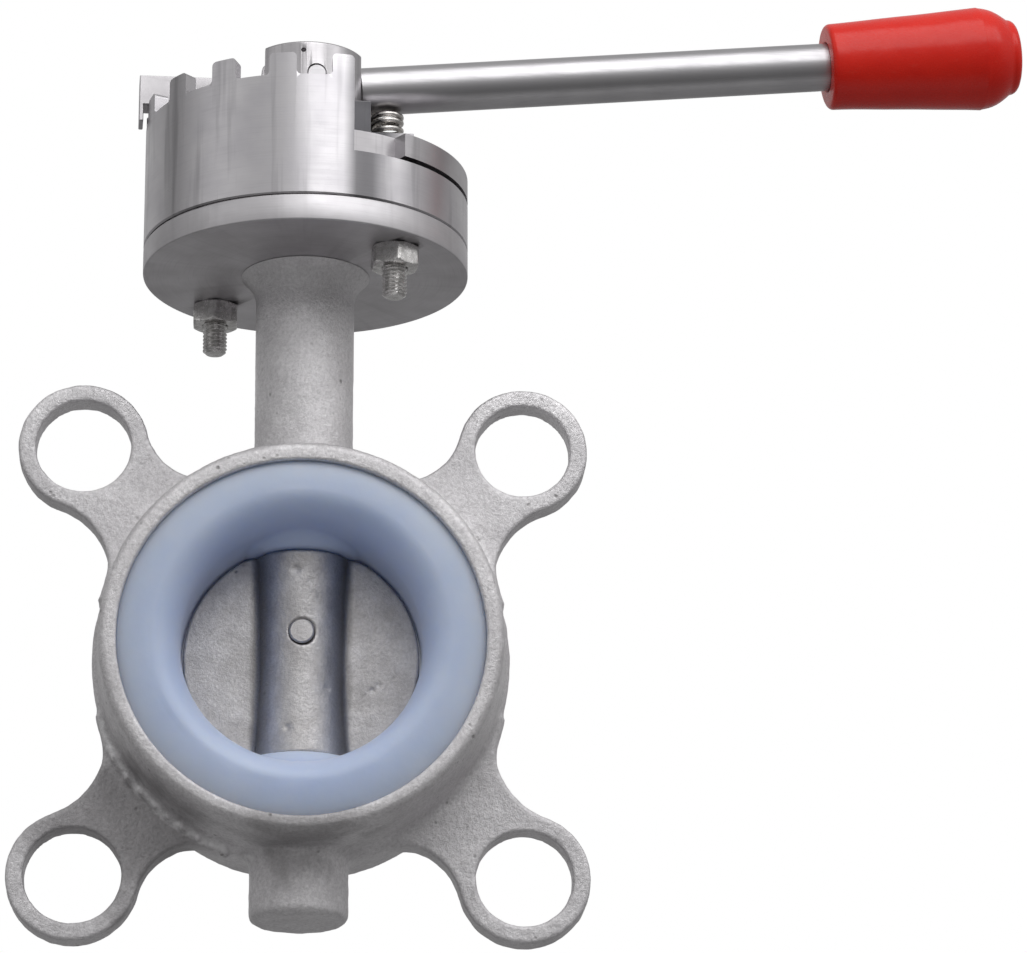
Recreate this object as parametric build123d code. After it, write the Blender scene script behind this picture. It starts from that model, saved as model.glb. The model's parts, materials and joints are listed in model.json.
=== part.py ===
from build123d import *
import math
import os

# Wafer butterfly valve DN50 with a notched hand lever.
# Millimetres. The origin is the centre of the bore, +Y runs along the pipe, +Z along the stem.

# ---- clamping flange pattern and body casting
LUG_CIRCLE_D = 125.0        # pitch circle of the four flange bolts
LUG_HOLE_D = 19.0
LUG_EYE_R = 13.1            # outer radius of a lug's eye
LUG_T = 6.0                 # thickness of the lug plate
LUG_SIDE_FILLET_R = 15.5    # concave side of a lug that faces +X or -X
LUG_END_FILLET_R = 12.5     # concave side that faces +Z or -Z
FACE_TO_FACE = 43.0
BARREL_FACE_R = 39.6        # outer radius at the faces
BARREL_MID_R = 41.2         # outer radius at the middle of the draft
SEAT_FACE_R = 35.7          # recess for the seat's rims
SEAT_BED_R = 31.0           # bore under the seat
SEAT_RIM_T = 4.5            # depth of the recess in each face
SEAT_THROAT_R = 23.85       # inner radius of the seat between its noses
SEAT_CREST_R = 29.7         # the rounded nose at each face stands highest here
SEAT_NOSE_DEPTH = 9.5       # how deep the nose's inner side reaches before the throat
SEAT_SHOULDER_W = 6.6       # half width of the ellipse under its outer side
SEAT_SHOULDER_DEPTH = 2.0   # and how far its outer side falls off towards the body
SEAT_PAD_R = 11.2           # flats round the stem that the disc's ends run against
NECK_R = 10.0
NECK_FLARE_R = 13.1         # radius of the neck where it meets the flange
NECK_FLARE_H = 7.0
BOSS_TOP_R = 10.0           # blind boss under the barrel
BOSS_BOTTOM_R = 9.6
BOSS_BOTTOM_Z = -53.1
BOSS_EDGE_R = 1.8

# ---- stem, bushes and seals
STEM_R = 6.0
STEM_BORE_R = 7.5           # bore in neck and boss that holds the bushes
RUN = 0.06                  # radial running clearance
SNUG = 0.02                 # radial clearance of pieces that don't move on each other
STEM_BOTTOM_Z = -48.4
STEM_BORE_BOTTOM_Z = -49.4
LOWER_BUSH_Z = (-48.6, -34.0)
NECK_BUSH_Z = (36.0, 56.8)
UPPER_BUSH_Z = (60.2, 84.4)
O_RING_Z = (57.7, 59.3)
O_RING_SECTION_R = 0.68
COLLAR_R = 8.4
COLLAR_Z = (84.8, 86.3)
COLLAR_POCKET_R = 9.0
WASHER_Z = (86.5, 87.4)
SQUARE_AF = 9.0             # square end of the stem
SQUARE_Z = (91.7, 106.0)

# ---- disc
DISC_R = 23.6               # spherical rim
DISC_T = 5.2
DISC_BOSS_END_R = 9.4
DISC_BOSS_MID_R = 8.7       # the boss is slightly waisted
DISC_BOSS_FOOT_R = 1.0      # fillet between the boss and the disc's faces
DISC_FLAT_Z = 20.9          # flat ends of the disc round the stem
PIN_R = 2.5
PIN_Z = 4.2
PIN_LENGTH = 18.0

# ---- top flange and notched cap
TOP_R = 33.2                # flange, cap and hub sector share one outer radius
FLANGE_Z = (81.9, 87.5)
SEAM_CHAMFER = 0.3
CAP_FLOOR_TOP_Z = 91.5
BAND_TOP_Z = 97.3
CROWN_FLOOR_Z = 113.1       # bottoms of the notches
CROWN_TOP_Z = 117.8
CROWN_T = 3.0
CROWN_START_DEG = 150.0     # the high wall runs from here, over -X and -Y, to its end
CROWN_END_DEG = 286.3
NOTCH_COUNT = 5
NOTCH_PITCH_DEG = 22.0
NOTCH_LEAD_DEG = 1.0        # the first notch lies this far past the closed lever's tail
NOTCH_W = 7.2
CAP_HOLE_R = 6.5
BOLT_R = 2.5                # M5
BOLT_HOLE_R = 2.75
BOLT_CIRCLE_R = 25.2
BOLT_ANGLES_DEG = (-45.0, 137.5)
BOLT_END_Z = 71.3
BOLT_HEAD_H = 3.5
BOLT_HEAD_AF = 8.0
NUT_AF = 9.0                # heavy pattern nuts
NUT_H = 4.5
NUT_TURNS_DEG = (8.0, 0.0)  # how far each nut was turned home

# ---- hub, all in the lever's own direction
LEVER_AZIMUTH_DEG = 3.2     # the lever stands this far round from +X when the disc is closed
TURRET_R = 12.0
TURRET_TOP_Z = 129.7
TURRET_LEFT_X = -9.2        # flats on the turret's two open sides
TURRET_RIGHT_X = 11.0
SLOT_W = 10.8
SLOT_FLOOR_Z = 114.3
HUB_PLATE_Z = (98.3, 103.2)
HUB_PLATE_R = 29.8
SECTOR_START_DEG = -57.0
SECTOR_END_DEG = 56.0
HUB_BOSS_R = 11.0
HUB_BOSS_BOTTOM_Z = 92.0
ARM_RIGHT_X = 21.5          # block that carries the spring
ARM_HALF_W = 8.0
ARM_TOP_Z = 111.5
CHEEK_X = (8.0, 12.6)       # the slot's walls run on beside the spring
CHEEK_TOP_Z = 118.4
DIMPLE_R = 0.5              # locking dimple over the pivot pin, in the turret's front
DIMPLE_X = -1.6
DIMPLE_Z = 127.6
SCREW_HEAD_R = 4.25
SCREW_HEAD_H = 5.0
SCREW_HEAD_BOTTOM_Z = 109.2
SCREW_BOTTOM_Z = 96.0

# ---- lever
PIVOT_X = 1.2
PIVOT_Z = 122.7
PIVOT_PIN_R = 2.0
PIVOT_PIN_LENGTH = 23.4
ROD_R = 5.0
ROD_TILT_DEG = 5.72         # the rod rises away from the turret
ROD_START = 9.0             # distances along the rod from the pivot
ROD_END = 141.0
SPIGOT_R = 3.0
SPIGOT_START = 3.4
HEAD_HALF_W = 5.0
HEAD_X = (-9.8, 8.4)
HEAD_Z = (117.6, 127.4)
TAIL_HALF_W = 2.6
TAIL_END_X = -34.8
TAIL_UNDER_Z = 118.15       # clears the crown's teeth while the lever is pressed
TAIL_TOP_Z = 124.6
LIP_BOTTOM_Z = 114.5        # pointer lip outside the crown
LIP_INNER_X = -33.9
SPRING_X = 16.5
SPRING_MEAN_R = 3.0
SPRING_WIRE_R = 0.6
SPRING_PITCH = 1.6
SPRING_Z = (110.7, 120.6)   # centre line of the wire
SPRING_SEAT_R = 4.0
SPRING_SEAT_DEPTH = 1.5
ROD_POCKET_R = 4.0
ROD_POCKET_TOP_Z = 121.9
GRIP_START = 108.6
GRIP_END = 149.4
GRIP_START_R = 9.1
GRIP_RIDGE = 141.0
GRIP_RIDGE_R = 10.9
GRIP_END_R = 8.0


def turned(radius, z_low, z_high):
    """A cylinder on the stem's axis between two heights."""
    return Pos(0, 0, (z_low + z_high) / 2) * Cylinder(radius, z_high - z_low)


def tube(outer_r, inner_r, z_low, z_high):
    """A ring on the stem's axis between two heights."""
    return turned(outer_r, z_low, z_high) - turned(inner_r, z_low, z_high)


def block(x_low, x_high, y_low, y_high, z_low, z_high):
    """A box given by its limits."""
    centre = Pos((x_low + x_high) / 2, (y_low + y_high) / 2, (z_low + z_high) / 2)
    return centre * Box(x_high - x_low, y_high - y_low, z_high - z_low)


def sector(radius, start_deg, end_deg, z_low, z_high):
    """A pie slice on the stem's axis between two angles and two heights."""
    arc = CenterArc((0, 0), radius, start_deg, end_deg - start_deg)
    outline = [Line((0, 0), arc @ 0), arc, Line(arc @ 1, (0, 0))]
    return Pos(0, 0, z_low) * extrude(make_face(outline), z_high - z_low)


def on_lever(shape):
    """Turns a shape from the lever's own direction to its place over the closed disc."""
    return Rot(0, 0, LEVER_AZIMUTH_DEG) * shape


def on_rod(shape):
    """Puts a shape made along +X from the pivot onto the rod's tilted line."""
    return on_lever(Pos(PIVOT_X, 0, PIVOT_Z) * Rot(0, -ROD_TILT_DEG, 0) * shape)


def revolved_on_x(points):
    """A solid turned about +X from an outline of (x, radius) points."""
    return revolve(make_face(Polyline(*points, close=True)), Axis.X)


def hexagon(across_flats, z_low, z_high):
    """A hexagonal prism on the stem's axis with both ends chamfered at the corners."""
    corner_r = across_flats / math.sqrt(3)
    prism = Pos(0, 0, z_low) * extrude(RegularPolygon(corner_r, 6, rotation=30), z_high - z_low)
    height = z_high - z_low
    rim = corner_r - across_flats / 2
    round_blank = turned(corner_r, z_low, z_high)
    chamfered = chamfer(round_blank.edges().filter_by(GeomType.CIRCLE), rim * 0.5, rim)
    return prism & chamfered if height > rim else prism


# ---------------------------------------------------------------- body

def fillet_centre(fillet_r):
    """Centre of a circle that touches the barrel and the eye of a lug lying along +X."""
    eye_x = LUG_CIRCLE_D / 2
    to_barrel = BARREL_MID_R + fillet_r
    to_eye = LUG_EYE_R + fillet_r
    cos_a = (eye_x ** 2 + to_barrel ** 2 - to_eye ** 2) / (2 * eye_x * to_barrel)
    return to_barrel * cos_a, to_barrel * math.sqrt(1 - cos_a ** 2)


def lug_outline(angle_deg):
    """Eye and web of one lug; the web's sides are arcs tangent to the eye and to the barrel."""
    eye_x = LUG_CIRCLE_D / 2
    faces_x_below = angle_deg % 180 < 90
    below_r, above_r = LUG_END_FILLET_R, LUG_SIDE_FILLET_R
    if faces_x_below:
        below_r, above_r = above_r, below_r
    below_x, below_y = fillet_centre(below_r)
    above_x, above_y = fillet_centre(above_r)
    corners = [(0, 0), (below_x, -below_y), (eye_x, 0), (above_x, above_y)]
    web = make_face(Polyline(*corners, close=True))
    web -= Pos(below_x, -below_y) * Circle(below_r)
    web -= Pos(above_x, above_y) * Circle(above_r)
    return Rot(0, 0, angle_deg) * (web + Pos(eye_x, 0) * Circle(LUG_EYE_R))


def lug_plate():
    """The four lugs and the disc-shaped rib that joins them inside the barrel."""
    outline = Circle(BARREL_MID_R)
    for angle in (45, 135, 225, 315):
        outline += lug_outline(angle)
    for angle in (45, 135, 225, 315):
        outline -= Rot(0, 0, angle) * Pos(LUG_CIRCLE_D / 2, 0) * Circle(LUG_HOLE_D / 2)
    return extrude(Plane.XZ * outline, LUG_T / 2, both=True)


def barrel():
    """The drafted outside of the barrel, solid, turned about the pipe's axis."""
    half = FACE_TO_FACE / 2
    edge = 0.8
    points = [
        (0, -half), (BARREL_FACE_R - edge, -half), (BARREL_FACE_R, -half + edge),
        (BARREL_MID_R, 0),
        (BARREL_FACE_R, half - edge), (BARREL_FACE_R - edge, half), (0, half),
    ]
    return revolve(make_face(Polyline(*points, close=True)), Axis.Y)


def seat_room():
    """The room in the barrel for the seat."""
    half = FACE_TO_FACE / 2
    bed = half - SEAT_RIM_T
    points = [
        (0, -half - 1), (SEAT_FACE_R, -half - 1), (SEAT_FACE_R, -bed), (SEAT_BED_R, -bed),
        (SEAT_BED_R, bed), (SEAT_FACE_R, bed), (SEAT_FACE_R, half + 1), (0, half + 1),
    ]
    return revolve(make_face(Polyline(*points, close=True)), Axis.Y)


def neck():
    """The neck with its flare under the flange."""
    flare_low = FLANGE_Z[0] - NECK_FLARE_H
    outline = [
        Line((0, 34), (NECK_R, 34)),
        Line((NECK_R, 34), (NECK_R, flare_low)),
        Spline((NECK_R, flare_low), (NECK_FLARE_R, FLANGE_Z[0]), tangents=[(0, 1), (1, 0.7)]),
        Line((NECK_FLARE_R, FLANGE_Z[0]), (0, FLANGE_Z[0])),
        Line((0, FLANGE_Z[0]), (0, 34)),
    ]
    return revolve(Plane.XZ * make_face(outline), Axis.Z)


def bottom_boss():
    """The blind boss that holds the stem's lower end."""
    height = -SEAT_BED_R - 2 - BOSS_BOTTOM_Z
    cone = Pos(0, 0, BOSS_BOTTOM_Z + height / 2) * Cone(BOSS_BOTTOM_R, BOSS_TOP_R, height)
    low_edge = cone.edges().filter_by(GeomType.CIRCLE).sort_by(Axis.Z)[0]
    return fillet(low_edge, BOSS_EDGE_R)


def bolt_places():
    """The two bolt positions of the cap."""
    angles = [math.radians(angle) for angle in BOLT_ANGLES_DEG]
    return [Pos(BOLT_CIRCLE_R * math.cos(a), BOLT_CIRCLE_R * math.sin(a), 0) for a in angles]


def top_flange():
    """The round flange on the neck, chamfered at the seam."""
    disc_blank = turned(TOP_R, *FLANGE_Z)
    upper_edge = disc_blank.edges().filter_by(GeomType.CIRCLE).sort_by(Axis.Z)[-1]
    return chamfer(upper_edge, SEAM_CHAMFER)


def valve_body():
    casting = barrel() + lug_plate() + neck() + bottom_boss() + top_flange()
    casting -= seat_room()
    casting -= turned(STEM_BORE_R, STEM_BORE_BOTTOM_Z, FLANGE_Z[1] + 1)
    casting -= turned(COLLAR_POCKET_R, UPPER_BUSH_Z[1] + 0.2, FLANGE_Z[1] + 1)
    for place in bolt_places():
        casting -= place * turned(BOLT_HOLE_R, FLANGE_Z[0] - 1, FLANGE_Z[1] + 1)
    return casting


def seat_nose(side):
    """The rounded nose on one face: an inner and an outer elliptic arc that meet at the crest."""
    crest_y = FACE_TO_FACE / 2 - 0.1
    rim_r = SEAT_FACE_R - SNUG
    shoulder_deg = math.degrees(math.acos((rim_r - SEAT_CREST_R) / SEAT_SHOULDER_W))
    inner_deg, outer_deg = (180, 270) if side < 0 else (90, shoulder_deg)
    inner = EllipticalCenterArc(
        (SEAT_CREST_R, side * (crest_y - SEAT_NOSE_DEPTH)), SEAT_CREST_R - SEAT_THROAT_R,
        SEAT_NOSE_DEPTH, start_angle=inner_deg, arc_size=90
    )
    outer = EllipticalCenterArc(
        (SEAT_CREST_R, side * (crest_y - SEAT_SHOULDER_DEPTH)), SEAT_SHOULDER_W,
        SEAT_SHOULDER_DEPTH, start_angle=outer_deg, arc_size=90 - shoulder_deg
    )
    return inner, outer


def seat_liner():
    """Seat with a rounded nose at each face, flats round the stem and a key in the body's bore."""
    bed = FACE_TO_FACE / 2 - SEAT_RIM_T + SNUG
    rim_r = SEAT_FACE_R - SNUG
    bed_r = SEAT_BED_R - SNUG
    front_inner, front_outer = seat_nose(-1)
    rear_inner, rear_outer = seat_nose(1)
    corners = [
        front_outer @ 1, (rim_r, -bed), (bed_r, -bed), (bed_r, bed), (rim_r, bed), rear_outer @ 0,
    ]
    outline = [front_inner, front_outer, Polyline(*corners), rear_outer, rear_inner]
    outline.append(Line(rear_inner @ 1, front_inner @ 0))
    ring = revolve(make_face(outline), Axis.Y)
    for pad_z in ((DISC_FLAT_Z + RUN, SEAT_BED_R - 3), (3 - SEAT_BED_R, -DISC_FLAT_Z - RUN)):
        ring += turned(SEAT_PAD_R, *pad_z)
    return ring - turned(STEM_R + RUN, -SEAT_BED_R - 1, SEAT_BED_R + 1)


# ---------------------------------------------------------------- stem and seals

def stem():
    """One-piece stem: round shaft, collar under the cap, square end, tapped top."""
    shaft = turned(STEM_R, STEM_BOTTOM_Z, SQUARE_Z[1]) + turned(COLLAR_R, *COLLAR_Z)
    keep = block(-SQUARE_AF / 2, SQUARE_AF / 2, -SQUARE_AF / 2, SQUARE_AF / 2, *SQUARE_Z)
    shaft -= turned(COLLAR_R, *SQUARE_Z) - on_lever(keep)
    shaft -= turned(BOLT_R + SNUG, SCREW_BOTTOM_Z - 1.5, SQUARE_Z[1] + 1)
    shaft -= Pos(0, 0, PIN_Z) * Rot(90, 0, 0) * Cylinder(PIN_R + SNUG, 30)
    return shaft


def bushing(limits):
    return tube(STEM_BORE_R - SNUG, STEM_R + RUN, *limits)


def stem_o_rings():
    middle_r = (STEM_R + STEM_BORE_R) / 2
    return [Pos(0, 0, z) * Torus(middle_r, O_RING_SECTION_R) for z in O_RING_Z]


# ---------------------------------------------------------------- disc

def disc():
    """Disc with a spherical rim and a waisted vertical boss."""
    plate = Box(2 * DISC_R, DISC_T, 2 * DISC_R)
    waist = ThreePointArc(
        (DISC_BOSS_END_R, -DISC_R), (DISC_BOSS_MID_R, 0), (DISC_BOSS_END_R, DISC_R)
    )
    outline = [
        waist,
        Line(waist @ 1, (0, DISC_R)),
        Line((0, DISC_R), (0, -DISC_R)),
        Line((0, -DISC_R), waist @ 0),
    ]
    boss = revolve(Plane.XZ * make_face(outline), Axis.Z)
    blank = plate + boss
    feet = [
        edge for edge in blank.edges()
        if abs(abs(edge.center().Y) - DISC_T / 2) < 0.01 and abs(edge.center().X) < DISC_BOSS_END_R
        and edge.length > DISC_R
    ]
    shape = fillet(feet, DISC_BOSS_FOOT_R) & Sphere(DISC_R)
    shape &= turned(DISC_R, -DISC_FLAT_Z, DISC_FLAT_Z)
    shape -= turned(STEM_R + SNUG, -DISC_R - 1, DISC_R + 1)
    return shape - Pos(0, 0, PIN_Z) * Rot(90, 0, 0) * Cylinder(PIN_R + SNUG, 30)


def disc_pin():
    blank = Pos(0, 0, PIN_Z) * Rot(90, 0, 0) * Cylinder(PIN_R, PIN_LENGTH)
    return chamfer(blank.edges().filter_by(GeomType.CIRCLE), 0.3)


# ---------------------------------------------------------------- notched cap

def notch_angles():
    """Directions of the notches, seen from the stem, for each position of the lever's tail."""
    first = 180 + LEVER_AZIMUTH_DEG + NOTCH_LEAD_DEG
    return [first + index * NOTCH_PITCH_DEG for index in range(NOTCH_COUNT)]


def notch_cap():
    cap = turned(TOP_R, FLANGE_Z[1], BAND_TOP_Z)
    lower_edge = cap.edges().filter_by(GeomType.CIRCLE).sort_by(Axis.Z)[0]
    cap = chamfer(lower_edge, SEAM_CHAMFER)
    cap += sector(TOP_R, CROWN_START_DEG, CROWN_END_DEG, BAND_TOP_Z, CROWN_TOP_Z)
    cap -= turned(TOP_R - CROWN_T, CAP_FLOOR_TOP_Z, CROWN_TOP_Z + 1)
    for angle in notch_angles():
        limits_x = (TOP_R - CROWN_T - 2, TOP_R + 2)
        slot = block(*limits_x, -NOTCH_W / 2, NOTCH_W / 2, CROWN_FLOOR_Z, CROWN_TOP_Z + 1)
        cap -= Rot(0, 0, angle) * slot
    cap -= turned(CAP_HOLE_R, FLANGE_Z[1] - 1, CAP_FLOOR_TOP_Z + 1)
    for place in bolt_places():
        cap -= place * turned(BOLT_HOLE_R, FLANGE_Z[1] - 1, CAP_FLOOR_TOP_Z + 1)
    return cap


def cap_bolt():
    head = hexagon(BOLT_HEAD_AF, CAP_FLOOR_TOP_Z, CAP_FLOOR_TOP_Z + BOLT_HEAD_H)
    shank = turned(BOLT_R, BOLT_END_Z, CAP_FLOOR_TOP_Z)
    end_edge = shank.edges().filter_by(GeomType.CIRCLE).sort_by(Axis.Z)[0]
    return head + chamfer(end_edge, 0.4)


def cap_nut(turn_deg):
    nut = hexagon(NUT_AF, FLANGE_Z[0] - NUT_H, FLANGE_Z[0])
    nut -= turned(BOLT_R + SNUG, FLANGE_Z[0] - NUT_H - 1, FLANGE_Z[0] + 1)
    return Rot(0, 0, turn_deg) * nut


# ---------------------------------------------------------------- hub

def hub():
    """Turret with an open slot for the lever, base plate with an outer sector, spring arm."""
    shape = turned(TURRET_R, HUB_PLATE_Z[0], TURRET_TOP_Z)
    top_edge = shape.edges().filter_by(GeomType.CIRCLE).sort_by(Axis.Z)[-1]
    shape = fillet(top_edge, 0.6)
    flats_z = (HUB_PLATE_Z[1], TURRET_TOP_Z + 1)
    shape -= block(-2 * TURRET_R, TURRET_LEFT_X, -TURRET_R, TURRET_R, *flats_z)
    shape -= block(TURRET_RIGHT_X, 2 * TURRET_R, -TURRET_R, TURRET_R, *flats_z)
    shape += turned(HUB_PLATE_R, *HUB_PLATE_Z)
    shape += sector(TOP_R, SECTOR_START_DEG, SECTOR_END_DEG, *HUB_PLATE_Z)
    shape += block(0, ARM_RIGHT_X, -ARM_HALF_W, ARM_HALF_W, HUB_PLATE_Z[0], ARM_TOP_Z)
    shape += block(*CHEEK_X, -ARM_HALF_W, ARM_HALF_W, HUB_PLATE_Z[1], CHEEK_TOP_Z)
    shape += turned(HUB_BOSS_R, HUB_BOSS_BOTTOM_Z, HUB_PLATE_Z[1])
    shape -= block(-2 * TURRET_R, 2 * TURRET_R, -SLOT_W / 2, SLOT_W / 2, SLOT_FLOOR_Z, TURRET_TOP_Z + 1)
    shape -= Pos(SPRING_X, 0, 0) * turned(SPRING_SEAT_R, ARM_TOP_Z - SPRING_SEAT_DEPTH, ARM_TOP_Z + 1)
    half_af = SQUARE_AF / 2 + SNUG
    square_hole = block(-half_af, half_af, -half_af, half_af, HUB_BOSS_BOTTOM_Z - 1, SQUARE_Z[1] + 0.2)
    shape -= square_hole & turned(STEM_R + SNUG, HUB_BOSS_BOTTOM_Z - 1, SQUARE_Z[1] + 0.2)
    shape -= turned(BOLT_HOLE_R, SQUARE_Z[1], SLOT_FLOOR_Z)
    shape -= turned(SCREW_HEAD_R + 0.25, SCREW_HEAD_BOTTOM_Z, SLOT_FLOOR_Z + 1)
    pin_hole = Pos(PIVOT_X, 0, PIVOT_Z) * Rot(90, 0, 0) * Cylinder(PIVOT_PIN_R + SNUG, 40)
    dimple = Pos(DIMPLE_X, -TURRET_R, DIMPLE_Z) * Rot(90, 0, 0) * Cylinder(DIMPLE_R, 3)
    return on_lever(shape - pin_hole - dimple)


def hub_screw():
    head = turned(SCREW_HEAD_R, SCREW_HEAD_BOTTOM_Z, SCREW_HEAD_BOTTOM_Z + SCREW_HEAD_H)
    head -= hexagon(4.0, SCREW_HEAD_BOTTOM_Z + 2.4, SCREW_HEAD_BOTTOM_Z + SCREW_HEAD_H + 1)
    return head + turned(BOLT_R, SCREW_BOTTOM_Z, SCREW_HEAD_BOTTOM_Z)


# ---------------------------------------------------------------- lever

def latch_bar():
    """Head in the turret's slot and a flat tail that ends in a lip outside the crown."""
    head = block(*HEAD_X, -HEAD_HALF_W, HEAD_HALF_W, *HEAD_Z)
    head = fillet(head.edges().filter_by(Axis.Y), 2.0)
    tail = block(TAIL_END_X, HEAD_X[0] + 4, -TAIL_HALF_W, TAIL_HALF_W, TAIL_UNDER_Z, TAIL_TOP_Z)
    lip = block(TAIL_END_X, LIP_INNER_X, -TAIL_HALF_W, TAIL_HALF_W, LIP_BOTTOM_Z, TAIL_TOP_Z)
    shape = on_lever(head + tail + lip)
    shape -= on_lever(Pos(PIVOT_X, 0, PIVOT_Z) * Rot(90, 0, 0) * Cylinder(PIVOT_PIN_R + RUN, 40))
    socket_length = 20 - SPIGOT_START + 0.4
    socket = Rot(0, 90, 0) * Cylinder(SPIGOT_R + SNUG, socket_length)
    socket = Pos(SPIGOT_START / 2 + 10, 0, 0) * socket
    return shape - on_rod(socket) - on_rod(block(ROD_START - SNUG, 20, -8, 8, -8, 8))


def lever_rod():
    points = [
        (SPIGOT_START, 0), (SPIGOT_START, SPIGOT_R), (ROD_START, SPIGOT_R), (ROD_START, ROD_R),
        (ROD_END - 0.8, ROD_R), (ROD_END, ROD_R - 0.8), (ROD_END, 0),
    ]
    rod = on_rod(revolved_on_x(points))
    pocket = Pos(SPRING_X, 0, 0) * turned(ROD_POCKET_R, ARM_TOP_Z, ROD_POCKET_TOP_Z)
    return rod - on_lever(pocket)


def lever_spring():
    height = SPRING_Z[1] - SPRING_Z[0]
    coil = Helix(SPRING_PITCH, height, SPRING_MEAN_R)
    wire = sweep(Plane(coil @ 0, z_dir=coil % 0) * Circle(SPRING_WIRE_R), coil, is_frenet=True)
    return on_lever(Pos(SPRING_X, 0, SPRING_Z[0]) * wire)


def pivot_pin():
    blank = Pos(PIVOT_X, 0, PIVOT_Z) * Rot(90, 0, 0) * Cylinder(PIVOT_PIN_R, PIVOT_PIN_LENGTH)
    return on_lever(chamfer(blank.edges().filter_by(GeomType.CIRCLE), 0.25))


def grip():
    """Moulded grip: swells from its mouth to a ridge near the end, then tapers."""
    bore_r = ROD_R + SNUG
    belly = Spline(
        (GRIP_START + 1.2, GRIP_START_R), (GRIP_RIDGE, GRIP_RIDGE_R), tangents=[(1, 0.03), (1, 0.06)]
    )
    mouth = ThreePointArc(
        (GRIP_START, GRIP_START_R - 1.2), (GRIP_START + 0.35, GRIP_START_R - 0.35), belly @ 0
    )
    outline = [
        Line((GRIP_START, bore_r), mouth @ 0),
        mouth,
        belly,
        Line(belly @ 1, (GRIP_END - 1.5, GRIP_END_R)),
        Line((GRIP_END - 1.5, GRIP_END_R), (GRIP_END, GRIP_END_R - 1.5)),
        Line((GRIP_END, GRIP_END_R - 1.5), (GRIP_END, 0)),
        Line((GRIP_END, 0), (ROD_END + 0.5, 0)),
        Line((ROD_END + 0.5, 0), (ROD_END + 0.5, bore_r)),
        Line((ROD_END + 0.5, bore_r), (GRIP_START, bore_r)),
    ]
    return on_rod(revolve(make_face(outline), Axis.X))


# ---------------------------------------------------------------- all sub-parts

NODES = {
    "valve_body": valve_body(),
    "seat_liner": seat_liner(),
    "lower_bushing": bushing(LOWER_BUSH_Z),
    "neck_bushing": bushing(NECK_BUSH_Z),
    "upper_bushing": bushing(UPPER_BUSH_Z),
    "stem_o_rings": Compound(children=stem_o_rings()),
    "thrust_washer": tube(COLLAR_POCKET_R - 0.2, CAP_HOLE_R, *WASHER_Z),
    "notch_cap": notch_cap(),
    "cap_bolts": Compound(children=[place * cap_bolt() for place in bolt_places()]),
    "cap_nuts": Compound(
        children=[place * cap_nut(turn) for place, turn in zip(bolt_places(), NUT_TURNS_DEG)]
    ),
    "stem": stem(),
    "disc": disc(),
    "disc_pin": disc_pin(),
    "hub": hub(),
    "hub_screw": hub_screw(),
    "pivot_pin": pivot_pin(),
    "lever_spring": lever_spring(),
    "latch_bar": latch_bar(),
    "lever_rod": lever_rod(),
    "grip": grip(),
}

os.makedirs("parts", exist_ok=True)
for name, shape in NODES.items():
    export_step(shape, f"parts/{name}.step")
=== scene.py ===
import json
import math

import bmesh
import bpy
import numpy as np
from mathutils import Matrix, Vector


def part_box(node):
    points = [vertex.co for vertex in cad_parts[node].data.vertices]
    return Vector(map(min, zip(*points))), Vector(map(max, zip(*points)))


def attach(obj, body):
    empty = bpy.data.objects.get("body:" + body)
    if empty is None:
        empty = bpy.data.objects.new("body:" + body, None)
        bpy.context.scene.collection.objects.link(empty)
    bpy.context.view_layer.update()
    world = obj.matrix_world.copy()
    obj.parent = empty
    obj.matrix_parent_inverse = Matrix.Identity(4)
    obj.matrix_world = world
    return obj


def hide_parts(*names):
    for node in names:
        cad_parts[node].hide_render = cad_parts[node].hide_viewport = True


# Wafer butterfly valve with a notched hand lever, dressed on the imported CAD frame.
# Metres. The origin is the centre of the bore, +Y runs along the pipe, +Z along the stem.

# ---- body casting
BARREL_HALF = 0.0215  # half of the face-to-face length
BARREL_FACE_R = 0.0396
BARREL_MID_R = 0.0407
BARREL_EDGE_R = 0.0018
SEAT_FACE_R = 0.0357  # recess for the seat's rims
SEAT_BED_R = 0.0310
SEAT_RIM_T = 0.0045
RIB_R = 0.0414  # parting rib round the barrel
RIB_HALF = 0.0028
RIB_EDGE_R = 0.0008
RIB_ROOT_R = 0.0015
FACING_SHIFT = 0.0004  # the barrel's face was cut this far off centre, along X and along Z
FACING_DEPTH = 0.0003
LUG_CIRCLE_R = 0.0625
LUG_EYE_R = 0.0131
LUG_HOLE_R = 0.0095
LUG_HALF = 0.0030
LUG_SIDE_FILLET_R = 0.0155  # concave side of a lug that faces +X or -X
LUG_END_FILLET_R = 0.0125  # concave side that faces +Z or -Z
LUG_ROOT_R = 0.0032  # cast fillet between lug and barrel
LUG_EDGE_R = 0.0007  # rounding along a lug's outline
LUG_HOLE_EDGE_R = 0.0005
LUG_LAND = 0.0005  # the fillets beside a lug run out this far outside the barrel
NECK_R = 0.0100
NECK_SPLIT_Z = 0.0620  # the casting's mesh ends here, and the turned flange's begins
NECK_ROOT_R = 0.0020
NECK_TUCK = 0.0003  # above the split the casting hides this far inside the flange's mesh
BOSS_R = 0.0098
BOSS_BOTTOM_Z = -0.0531
BOSS_EDGE_R = 0.0018
STEM_BORE_R = 0.0075
STEM_BORE_BOTTOM_Z = -0.0494
BURIED = 0.003  # how far outside the seat's bed the neck and the boss begin
FINE_EDGE_R = 0.0003  # rounding of the casting's cut edges
BORE_EDGE_R = 0.0002
CAST_LOW = (-0.0584, -0.0226, -0.0584)
CAST_HIGH = (0.0584, 0.0226, 0.0652)
CAST_STEP = 0.0006  # spacing of the casting's mesh
CAST_RIPPLE = 0.000035  # height of the cast skin's unevenness
FLASH_H = 0.0013  # ragged flash left on the lower left, between two directions in degrees
FLASH_DEG = (203, 262)
FLASH_Y = -0.0034
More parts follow.
